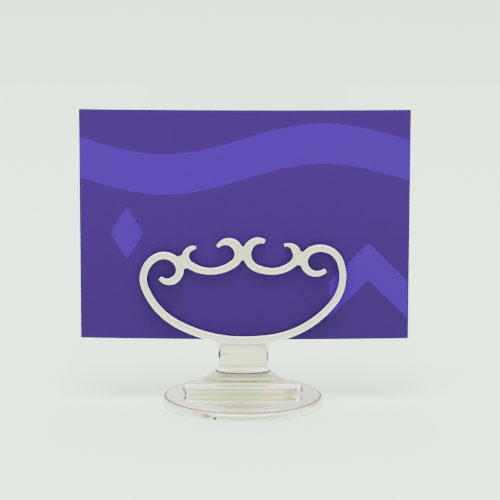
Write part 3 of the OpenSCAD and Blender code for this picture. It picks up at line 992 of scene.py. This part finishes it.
@dataclass(frozen=True)
class WireDrawing:
    """A wire of domed section that is bent flat, in two halves from one low point.

    Attributes:
        name: The piece's name.
        low_point: Where the halves start, as (x, z).
        start: Width at the low point, as a share of the plain wire's.
        size: The size that the bends are shares of, for each half.
        halves: The two halves.
        plain: Width of the plain wire.
        depth: Depth of the plain wire.
        back: Where the wire's flat back lies in Y.
    """

    name: str
    low_point: tuple[float, float]
    start: float
    size: tuple[float, float]
    halves: tuple[Half, Half]
    plain: float = 2.4 * MM
    depth: float = 1.8 * MM
    back: float = 0.15 * MM

    TURN_STEP = 2.0
    # Turns of the tip's rounding, its length as a share of half the width, and its bluntness
    CAP_ANGLES = (18.0, 36.0, 54.0, 70.0, 84.0)
    CAP_LENGTH = 0.62
    CAP_POWER = 0.62
    # The section's eased back corner, as shares of width and depth, and its domed front
    CORNER_SHARES = ((0.36, 0.0), (0.45, 0.025), (0.495, 0.1), (0.5, 0.22))
    FRONT_STEPS = 10
    FRONT_POWER = 2.6

    def stations(self, index: int) -> list[Station]:
        """Where the wire's section stands along one half, from the low point to the tip.

        Args:
            index: Which half.

        Returns:
            The stations.
        """
        half = self.halves[index]
        found = [Station(*self.low_point, half.heading, self.start * self.plain)]
        for bend in half.bends:
            radius = bend.radius * self.size[index] * math.copysign(1.0, bend.turn)
            steps = math.ceil(abs(bend.turn) / self.TURN_STEP)
            first, last = found[-1], bend.width * self.plain
            for step in range(1, steps + 1):
                part = step / steps
                heading = first.heading + bend.turn * part
                old, new = math.radians(first.heading), math.radians(heading)
                x = first.x + radius * (math.sin(new) - math.sin(old))
                z = first.z + radius * (math.cos(old) - math.cos(new))
                found.append(Station(x, z, heading, first.width + (last - first.width) * part))
        tip = found[-1]
        way = math.radians(tip.heading)
        for angle in self.CAP_ANGLES:
            out = tip.width / 2.0 * self.CAP_LENGTH * math.sin(math.radians(angle))
            cap = math.cos(math.radians(angle)) ** self.CAP_POWER
            x, z = tip.x + out * math.cos(way), tip.z + out * math.sin(way)
            found.append(Station(x, z, tip.heading, tip.width * cap, cap))
        return found

    def section(self, bm: BMesh) -> list[BMEdge]:
        """The ring at the low point: flat back, eased corners, domed front.

        Args:
            bm: The wire's bmesh.

        Returns:
            The ring's edges.
        """
        half = list(self.CORNER_SHARES)
        for index in range(self.FRONT_STEPS + 1):
            angle = math.radians(90.0 * index / self.FRONT_STEPS)
            across = 0.5 * math.cos(angle) ** (2.0 / self.FRONT_POWER)
            front = 0.5 + 0.5 * math.sin(angle) ** (2.0 / self.FRONT_POWER)
            half.append((across, front))
        outline = [*half, *[(-across, front) for across, front in reversed(half[:-1])]]
        ring = [bm.verts.new((0.0, -front, across)) for across, front in outline]
        bmesh.ops.transform(bm, verts=ring, matrix=self.stand(self.stations(0)[0], 180.0))
        return closed_chain(bm, ring)

    def stand(self, station: Station, turned: float) -> Matrix:
        """The transform that sets a unit section at a station.

        Args:
            station: The station.
            turned: A further turn, in degrees.

        Returns:
            The matrix.
        """
        width = station.width / station.cap
        deep = self.depth * min(1.0, math.sqrt(width / self.plain)) * station.cap
        return (
            Matrix.Translation((station.x, self.back, station.z))
            @ Matrix.Rotation(-math.radians(station.heading + turned), 4, "Y")
            @ Matrix.Diagonal((station.width, deep, station.width, 1.0))
        )

    def swept(self) -> BMesh:
        """Sweeps the section along both halves and closes the tips.

        Returns:
            The wire's bmesh.
        """
        bm = bmesh.new()
        foot = self.section(bm)
        for index, turned in ((0, 0.0), (1, -180.0)):
            edges = foot
            path = self.stations(index)
            for last, station in zip(path, path[1:]):
                verts, edges = extruded_ring(bm, edges)
                move = self.stand(station, turned) @ self.stand(last, turned).inverted()
                bmesh.ops.transform(bm, verts=verts, matrix=move)
            bmesh.ops.contextual_create(bm, geom=edges)
        bmesh.ops.recalc_face_normals(bm, faces=bm.faces)
        return bm

    def span(self) -> tuple[float, float]:
        """Least and greatest X of the wire's flanks.

        Returns:
            The two values.
        """
        path = [*self.stations(0), *self.stations(1)]
        flank = [abs(math.sin(math.radians(place.heading))) * place.width / 2.0 for place in path]
        least = min(place.x - half for place, half in zip(path, flank))
        most = max(place.x + half for place, half in zip(path, flank))
        return least, most


@dataclass
class Upright:
    """The leaf with its rolled knuckle, the waisted boss, and the scroll wires.

    Attributes:
        leaf_front: The leaf's front face in Y.
        lip_z: Height of the lip's lower edge.
        boss_h: Height of the boss.
        waist: Half width, depth and roundness of the waist.
        lip: Half width, depth and roundness of the lip.
        shoulder: Half width and depth of the shoulders.
        waist_rise: Height of the waist above the lip's lower edge.
        lip_t: Thickness of the lip's edge.
        foot: The outer wire's low point, as (x, z).
        half_w: Half width of the front, over the outer wire's centre line.
        file_depth: How far a small scroll crosses the middle before it is filed.
        leaf_ease: Width of the leaf's eased edges.
        solder_ease: Width of the saddles' eased edges.
    """

    leaf_front: float = 0.8 * MM
    lip_z: float = 10.15 * MM
    boss_h: float = 10.45 * MM
    waist: tuple[float, float, float] = (8.2 * MM, 1.65 * MM, 4.0)
    lip: tuple[float, float, float] = (8.9 * MM, 5.45 * MM, 2.3)
    shoulder: tuple[float, float] = (10.5 * MM, 2.2 * MM)
    waist_rise: float = 5.15 * MM
    lip_t: float = 0.7 * MM
    foot: tuple[float, float] = (0.0, 20.66 * MM)
    half_w: float = 31.75 * MM
    file_depth: float = 0.12 * MM
    leaf_ease: float = 0.16 * MM
    solder_ease: float = 0.12 * MM

    BOSS_STEPS = 160
    BOSS_SHARP_TURN = 50.0
    NOSE_STEPS = 10
    COVE_STEPS = 22
    # Sharpness of the turn from the waist into the lip, and out to the shoulders
    COVE_POWER = 5.5
    SHOULDER_POWER = 4
    # Widths at the low points, as shares of the plain wire's
    OUTER_START_SHARE = 1.12
    SMALL_START_SHARE = 0.96
    # The small scrolls' low point above the foot and the range of their size, as shares of half_w
    SMALL_RISE_SHARE = 0.709
    SMALL_SIZE_SHARES = (0.3, 0.65)
    HALVINGS = 12

    def levels(self) -> list[tuple[float, float, float, float]]:
        """The boss's levels from the lip's lower edge up to the shoulders.

        Returns:
            Height, half width, depth and roundness of each level.
        """
        nose = self.lip_t / 2.0
        waist_w, waist_d, waist_n = self.waist
        lip_w, lip_d, lip_n = self.lip
        waist_z = self.lip_z + self.waist_rise
        found = []
        for index in range(self.NOSE_STEPS + 1):
            angle = math.radians(180.0 * index / self.NOSE_STEPS - 90.0)
            inset = nose * (1.0 - math.cos(angle))
            height = self.lip_z + nose + nose * math.sin(angle)
            found.append((height, lip_w - inset, lip_d - inset, lip_n))
        for index in range(self.COVE_STEPS - 1, -1, -1):
            angle = math.radians(90.0 * index / self.COVE_STEPS)
            drop = math.sin(angle) ** (2.0 / self.COVE_POWER)
            out = 1.0 - math.cos(angle) ** (2.0 / self.COVE_POWER)
            height = waist_z - (self.waist_rise - self.lip_t) * drop
            half_width = waist_w + (lip_w - nose - waist_w) * out
            depth = waist_d + (lip_d - nose - waist_d) * out
            found.append((height, half_width, depth, waist_n + (lip_n - waist_n) * out))
        for index in range(1, self.COVE_STEPS + 1):
            part = math.sin(math.radians(90.0 * index / self.COVE_STEPS))
            wide = 1.0 - (1.0 - part**self.SHOULDER_POWER) ** (1.0 / self.SHOULDER_POWER)
            deep = 1.0 - math.sqrt(1.0 - part * part)
            height = waist_z + (self.boss_h - self.waist_rise) * part
            half_width = waist_w + (self.shoulder[0] - waist_w) * wide
            depth = waist_d + (self.shoulder[1] - waist_d) * deep
            found.append((height, half_width, depth, waist_n))
        return found

    def boss(self) -> Object:
        """Builds the boss level by level from flat-backed circles, and bridges them.

        Returns:
            The boss.
        """
        bm = bmesh.new()
        loops: list[list[BMEdge]] = []
        for height, half_width, depth, power in self.levels():
            ring = bmesh.ops.create_circle(bm, segments=self.BOSS_STEPS, radius=1.0)["verts"]
            for vert in ring:
                x, y = vert.co.x, min(vert.co.y, 0.0)
                across = half_width * math.copysign(abs(x) ** (2.0 / power), x)
                outwards = self.leaf_front - depth * abs(y) ** (2.0 / power)
                vert.co = Vector((across, outwards, height))
            loops.append(list({edge for vert in ring for edge in vert.link_edges}))
        for lower, upper in zip(loops, loops[1:]):
            bmesh.ops.bridge_loops(bm, edges=lower + upper)
        for end in (loops[0], loops[-1]):
            bmesh.ops.contextual_create(bm, geom=end)
        bmesh.ops.remove_doubles(bm, verts=bm.verts, dist=WELD)
        bmesh.ops.recalc_face_normals(bm, faces=bm.faces)
        return link_mesh("waisted_boss", bm, self.BOSS_SHARP_TURN)

    def outer_wire(self) -> WireDrawing:
        """The drawing of the long wire, whose halves each reach half the front's width."""
        left, right = (self.half_w / half.reach() for half in OUTER_HALVES)
        return WireDrawing(
            "outer_scroll_wire", self.foot, self.OUTER_START_SHARE, (left, right), OUTER_HALVES
        )

    def small_wire(self, side: str) -> WireDrawing:
        """The drawing of a small scroll, as wide as its solid and seated like it.

        Args:
            side: Left or right.

        Returns:
            The drawing.
        """
        low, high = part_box(f"{side}_c_scroll")
        wanted = high.x - low.x + self.file_depth
        floor = self.SMALL_RISE_SHARE * self.half_w + self.foot[1]
        drawing = WireDrawing(
            f"{side}_small_scroll_wire", (0.0, floor), self.SMALL_START_SHARE,
            (self.half_w, self.half_w), SMALL_SCROLLS[side],
        )
        least, most = (share * self.half_w for share in self.SMALL_SIZE_SHARES)
        for _ in range(self.HALVINGS):
            middle = (least + most) / 2.0
            span = replace(drawing, size=(middle, middle)).span()
            if span[1] - span[0] < wanted:
                least = middle
            else:
                most = middle
        drawing = replace(drawing, size=(least, least))
        left, right = drawing.span()
        shift = self.file_depth - right if side == "left" else -self.file_depth - left
        return replace(drawing, low_point=(shift, floor))

    def filed(self, drawing: WireDrawing, side: str) -> Object:
        """Bends a small scroll and files it flat on the middle plane.

        Args:
            drawing: Its drawing.
            side: Left or right.

        Returns:
            The scroll.
        """
        bm = drawing.swept()
        outward = (1.0, 0.0, 0.0) if side == "left" else (-1.0, 0.0, 0.0)
        cut = bmesh.ops.bisect_plane(
            bm, geom=[*bm.verts, *bm.edges, *bm.faces], dist=ON_PLANE, plane_co=(0.0, 0.0, 0.0),
            plane_no=outward, clear_outer=True,
        )["geom_cut"]
        bmesh.ops.edgenet_fill(bm, edges=[item for item in cut if isinstance(item, BMEdge)])
        return link_mesh(drawing.name, bm)

    def build(self, shop: Workshop) -> None:
        """Builds and dresses the upright's pieces.

        Args:
            shop: The workshop with the finishes.
        """
        leaf = link_mesh("rolled_back_leaf", polished_copy("back_leaf", self.leaf_ease))
        weigh_normals(leaf)
        shop.dress(leaf, "upright", "leaf_silver", "back_leaf", LEAF_FINISH.material(shop))
        shop.dress(self.boss(), "upright", "boss_silver", "neck_boss", BOSS_FINISH.material(shop))
        wire = WIRE_FINISH.material(shop)
        outer = self.outer_wire()
        piece = link_mesh(outer.name, outer.swept())
        shop.dress(piece, "upright", "wire_silver", "outer_scroll", wire)
        for side in SMALL_SCROLLS:
            piece = self.filed(self.small_wire(side), side)
            shop.dress(piece, "upright", "wire_silver", f"{side}_c_scroll", wire)
        solder = SOLDER_FINISH.material(shop)
        for node in ("left_saddle", "centre_saddle", "right_saddle"):
            piece = link_mesh(f"{node}_solder", polished_copy(node, self.solder_ease))
            shop.dress(piece, "upright", "solder_silver", node, solder)


# Card


@dataclass
class PlaceCard:
    """The bowed card.

    Attributes:
        thickness: Thickness of the stock.
        bow: How far its sides bow back.
    """

    thickness: float = 0.35 * MM
    bow: float = 2.0 * MM

    COLUMNS = 84
    ROWS = 24
    SHARP_TURN = 30.0
    # A face that turns this far to the front or the back isn't a cut edge
    FLAT_NORMAL = 0.7

    def build(self, shop: Workshop) -> None:
        """Builds and dresses the card.

        Args:
            shop: The workshop.
        """
        low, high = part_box("place_card")
        width, height = high.x - low.x, high.z - low.z
        bm = bmesh.new()
        bmesh.ops.create_grid(bm, x_segments=self.COLUMNS, y_segments=self.ROWS, size=0.5)
        bmesh.ops.scale(bm, verts=bm.verts, vec=(width, height, 1.0))
        bmesh.ops.rotate(bm, verts=bm.verts, matrix=Matrix.Rotation(math.radians(90.0), 3, "X"))
        middle_x, middle_z = (low.x + high.x) / 2.0, (low.z + high.z) / 2.0
        radius = ((width / 2.0) ** 2 + self.bow**2) / (2.0 * self.bow)
        for vert in bm.verts:
            vert.co.y = low.y + radius - math.sqrt(radius**2 - vert.co.x**2)
            vert.co.x += middle_x
            vert.co.z += middle_z
        bmesh.ops.recalc_face_normals(bm, faces=bm.faces)
        if sum(face.normal.y for face in bm.faces) > 0.0:
            bmesh.ops.reverse_faces(bm, faces=bm.faces)
        bmesh.ops.solidify(bm, geom=[*bm.verts, *bm.edges, *bm.faces], thickness=self.thickness)
        bmesh.ops.recalc_face_normals(bm, faces=bm.faces)
        sides = ("card_front", "card_back", "card_cut_edge")
        for face in bm.faces:
            cut = abs(face.normal.y) < self.FLAT_NORMAL
            side = "card_back" if face.normal.y >= 0.0 else "card_front"
            face.material_index = sides.index("card_cut_edge" if cut else side)
        piece = link_mesh("bowed_place_card", bm, self.SHARP_TURN)
        materials = [CARD_FINISH.material(side, side == "card_front") for side in sides]
        shop.dress(piece, "card", "card_stock", "place_card", *materials)


# Studio


@dataclass(frozen=True)
class Fade:
    """A soft change of a mirror card's tone along one axis.

    Attributes:
        axis: The axis.
        start: Where it begins.
        end: Where it is complete.
        radiance: The radiance from there on.
    """

    axis: str
    start: float
    end: float
    radiance: Colour


@dataclass(frozen=True)
class MirrorCard:
    """A toned card in the studio that shows in the metal alone.

    Attributes:
        name: Its name.
        centre: Its middle.
        size: Its width and height.
        facing: The direction that it faces.
        radiance: Its radiance before any fade.
        fades: Its fades, in order.
    """

    name: str
    centre: tuple[float, float, float]
    size: tuple[float, float]
    facing: tuple[float, float, float]
    radiance: Colour
    fades: tuple[Fade, ...] = ()

    def build(self) -> None:
        """Sets up the card, which only the polished metal sees."""
        bm = bmesh.new()
        bmesh.ops.create_grid(bm, x_segments=1, y_segments=1, size=0.5)
        bmesh.ops.scale(bm, verts=bm.verts, vec=(*self.size, 1.0))
        facing = Vector(self.facing).to_track_quat("Z", "Y").to_matrix()
        bmesh.ops.rotate(bm, verts=bm.verts, matrix=facing)
        bmesh.ops.translate(bm, verts=bm.verts, vec=self.centre)
        sheet = link_mesh(self.name, bm, None)
        made, shader, surface = new_material(self.name)
        made.node_tree.nodes.remove(surface)
        place = shader.place()
        colour = self.radiance
        for fade in self.fades:
            share = shader.ramp(shader.part(place, fade.axis), fade.start, fade.end)
            colour = shader.blend(share, colour, fade.radiance)
        glow = shader.node("ShaderNodeEmission", Color=colour)
        shader.fill(made.node_tree.nodes["Material Output"], Surface=glow.outputs[0])
        sheet.data.materials.append(made)
        sheet.visible_camera = False
        sheet.visible_diffuse = False
        sheet.visible_shadow = False
        sheet.visible_transmission = False


# Directions that the mirror cards face, seen from the camera
TOWARDS, AWAY, UP, DOWN = (0.0, -1.0, 0.0), (0.0, 1.0, 0.0), (0.0, 0.0, 1.0), (0.0, 0.0, -1.0)
MIRROR_CARDS = (
    MirrorCard(
        "beige_table_front", (0.0, -0.8, 0.0005), (2.4, 1.545), UP, (1.5, 1.55, 1.25, 1.0),
        (
            Fade("Y", -0.042, -0.054, (2.3, 2.5, 1.72, 1.0)),
            Fade("Y", -0.09, -0.15, (1.75, 1.8, 1.3, 1.0)),
        ),
    ),
    MirrorCard(
        "dim_room_front", (0.0, -1.6, 1.4), (5.0, 2.8), AWAY, (1.45, 1.6, 1.12, 1.0),
        (Fade("Z", 0.25, 0.9, (2.1, 2.2, 1.8, 1.0)), Fade("Z", 1.0, 2.8, (3.2, 3.2, 3.0, 1.0))),
    ),
    MirrorCard("bright_window_front", (0.0, -1.5, 1.25), (3.0, 0.4), AWAY, (5.0, 4.9, 5.3, 1.0)),
    MirrorCard(
        "grey_room_back", (0.0, 2.4, 0.7), (6.0, 1.4), TOWARDS, (2.0, 2.02, 1.9, 1.0),
        (Fade("X", -0.1, 0.1, (1.65, 1.66, 1.55, 1.0)),),
    ),
    MirrorCard(
        "white_ceiling", (0.0, 0.0, 2.3), (4.6, 4.6), DOWN, (2.2, 2.2, 2.1, 1.0),
        (Fade("Y", -1.8, -0.8, (3.5, 3.4, 3.7, 1.0)),),
    ),
    *[
        MirrorCard(f"white_table_{side}", (x, 0.35, 0.0004), (1.2, 0.9), UP, (4.0, 3.9, 4.3, 1.0))
        for side, x in (("left", -0.66), ("right", 0.66))
    ],
)


@dataclass
class Studio:
    """The pale table, the soft light and the camera.

    Attributes:
        pitch: How far the camera looks down, in degrees.
        roll: Its roll, in degrees.
        distance: Its distance from the point that it looks at.
        target: That point.
        focal: Its focal length, in millimetres.
        sensor: The width of its sensor, in millimetres.
        sight: Its nearest and farthest distance.
        table: Half side of the table.
        table_tones: The two tones of the table's faint clouds.
        room_tones: The room's light from the sides and from above.
        room_top: Upward part of the direction from which on it is the light from above.
        fill: Share of the room's light that falls on dull surfaces.
        lamp_place: Where the soft light hangs.
        lamp_aim: The point that it faces.
        lamp_side: Its width and height.
        lamp_power: Its power in watts.
        lamp_colour: Its colour.
    """

    pitch: float = 10.77
    roll: float = 0.134
    distance: float = 870.0 * MM
    target: tuple[float, float, float] = (2.2 * MM, 0.0, 49.87 * MM)
    focal: float = 196.96
    sensor: float = 36.0
    sight: tuple[float, float] = (0.01, 20.0)
    table: float = 4.0
    table_tones: tuple[Colour, Colour] = ((0.725, 0.94, 0.71, 1.0), (0.745, 0.96, 0.73, 1.0))
    room_tones: tuple[Colour, Colour] = ((2.6, 2.7, 2.5, 1.0), (2.75, 2.8, 2.7, 1.0))
    room_top: float = 0.8
    fill: float = 0.96
    lamp_place: tuple[float, float, float] = (-0.1, -0.65, 1.95)
    lamp_aim: tuple[float, float, float] = (0.0, 0.0, 0.03)
    lamp_side: float = 1.0
    lamp_power: float = 64.0
    lamp_colour: tuple[float, float, float] = (1.0, 0.99, 0.97)

    def camera(self) -> None:
        """Sets up the camera at the photograph's viewpoint."""
        data = bpy.data.cameras.new("photo_view")
        data.sensor_width = self.sensor
        data.lens = self.focal
        data.clip_start, data.clip_end = self.sight
        eye = bpy.data.objects.new("photo_view", data)
        down = math.radians(self.pitch)
        ahead = Vector((0.0, math.cos(down), -math.sin(down)))
        eye.location = Vector(self.target) - ahead * self.distance
        turn = ahead.to_track_quat("-Z", "Y").to_matrix().to_4x4()
        rolled = turn @ Matrix.Rotation(math.radians(self.roll), 4, "Z")
        eye.rotation_euler = rolled.to_euler()
        bpy.context.scene.collection.objects.link(eye)
        bpy.context.scene.camera = eye

    def floor(self) -> None:
        """Lays the pale, faintly glossy table."""
        bm = bmesh.new()
        bmesh.ops.create_grid(bm, x_segments=2, y_segments=2, size=self.table)
        floor = link_mesh("pale_table", bm, None)
        made, shader, surface = new_material("pale_table_top")
        cloud = shader.noise(shader.place(), Scale=3.0, Detail=2.0)
        colour = shader.blend(cloud, *self.table_tones)
        shader.fill(surface, Base_Color=colour, Roughness=0.6, Specular_IOR_Level=0.1)
        floor.data.materials.append(made)

    def lamp(self) -> None:
        """Hangs the soft light, which mirror-like surfaces don't show."""
        data = bpy.data.lights.new("key_softbox", "AREA")
        data.shape = "RECTANGLE"
        data.size, data.size_y = self.lamp_side, self.lamp_side
        data.energy = self.lamp_power
        data.color = self.lamp_colour
        lamp = bpy.data.objects.new("key_softbox", data)
        lamp.location = self.lamp_place
        lamp.visible_glossy = False
        beam = Vector(self.lamp_aim) - Vector(self.lamp_place)
        lamp.rotation_euler = beam.to_track_quat("-Z", "Y").to_euler()
        bpy.context.scene.collection.objects.link(lamp)

    def room(self) -> None:
        """Surrounds the set with an even, pale room, brighter above."""
        world = bpy.data.worlds.new("pale_room")
        world.use_nodes = True
        shader = Shader(world.node_tree)
        place = shader.node("ShaderNodeTexCoord").outputs["Generated"]
        high = shader.ramp(shader.part(place, "Z"), 0.0, self.room_top)
        seen = shader.node("ShaderNodeLightPath").outputs["Is Glossy Ray"]
        shader.fill(
            world.node_tree.nodes["Background"],
            Color=shader.blend(high, *self.room_tones),
            Strength=shader.maths("MULTIPLY_ADD", seen, 1.0 - self.fill, self.fill),
        )
        bpy.context.scene.world = world

    def build(self) -> None:
        """Sets up the whole studio."""
        self.camera()
        self.floor()
        self.room()
        self.lamp()
        for card in MIRROR_CARDS:
            card.build()


def main() -> None:
    """Builds the studio and the holder, piece by piece."""
    logging.basicConfig(level=logging.INFO, format="%(message)s")
    Studio().build()
    shop = Workshop()
    Stand().build(shop)
    Upright().build(shop)
    PlaceCard().build(shop)


if __name__ == "__main__":
    main()
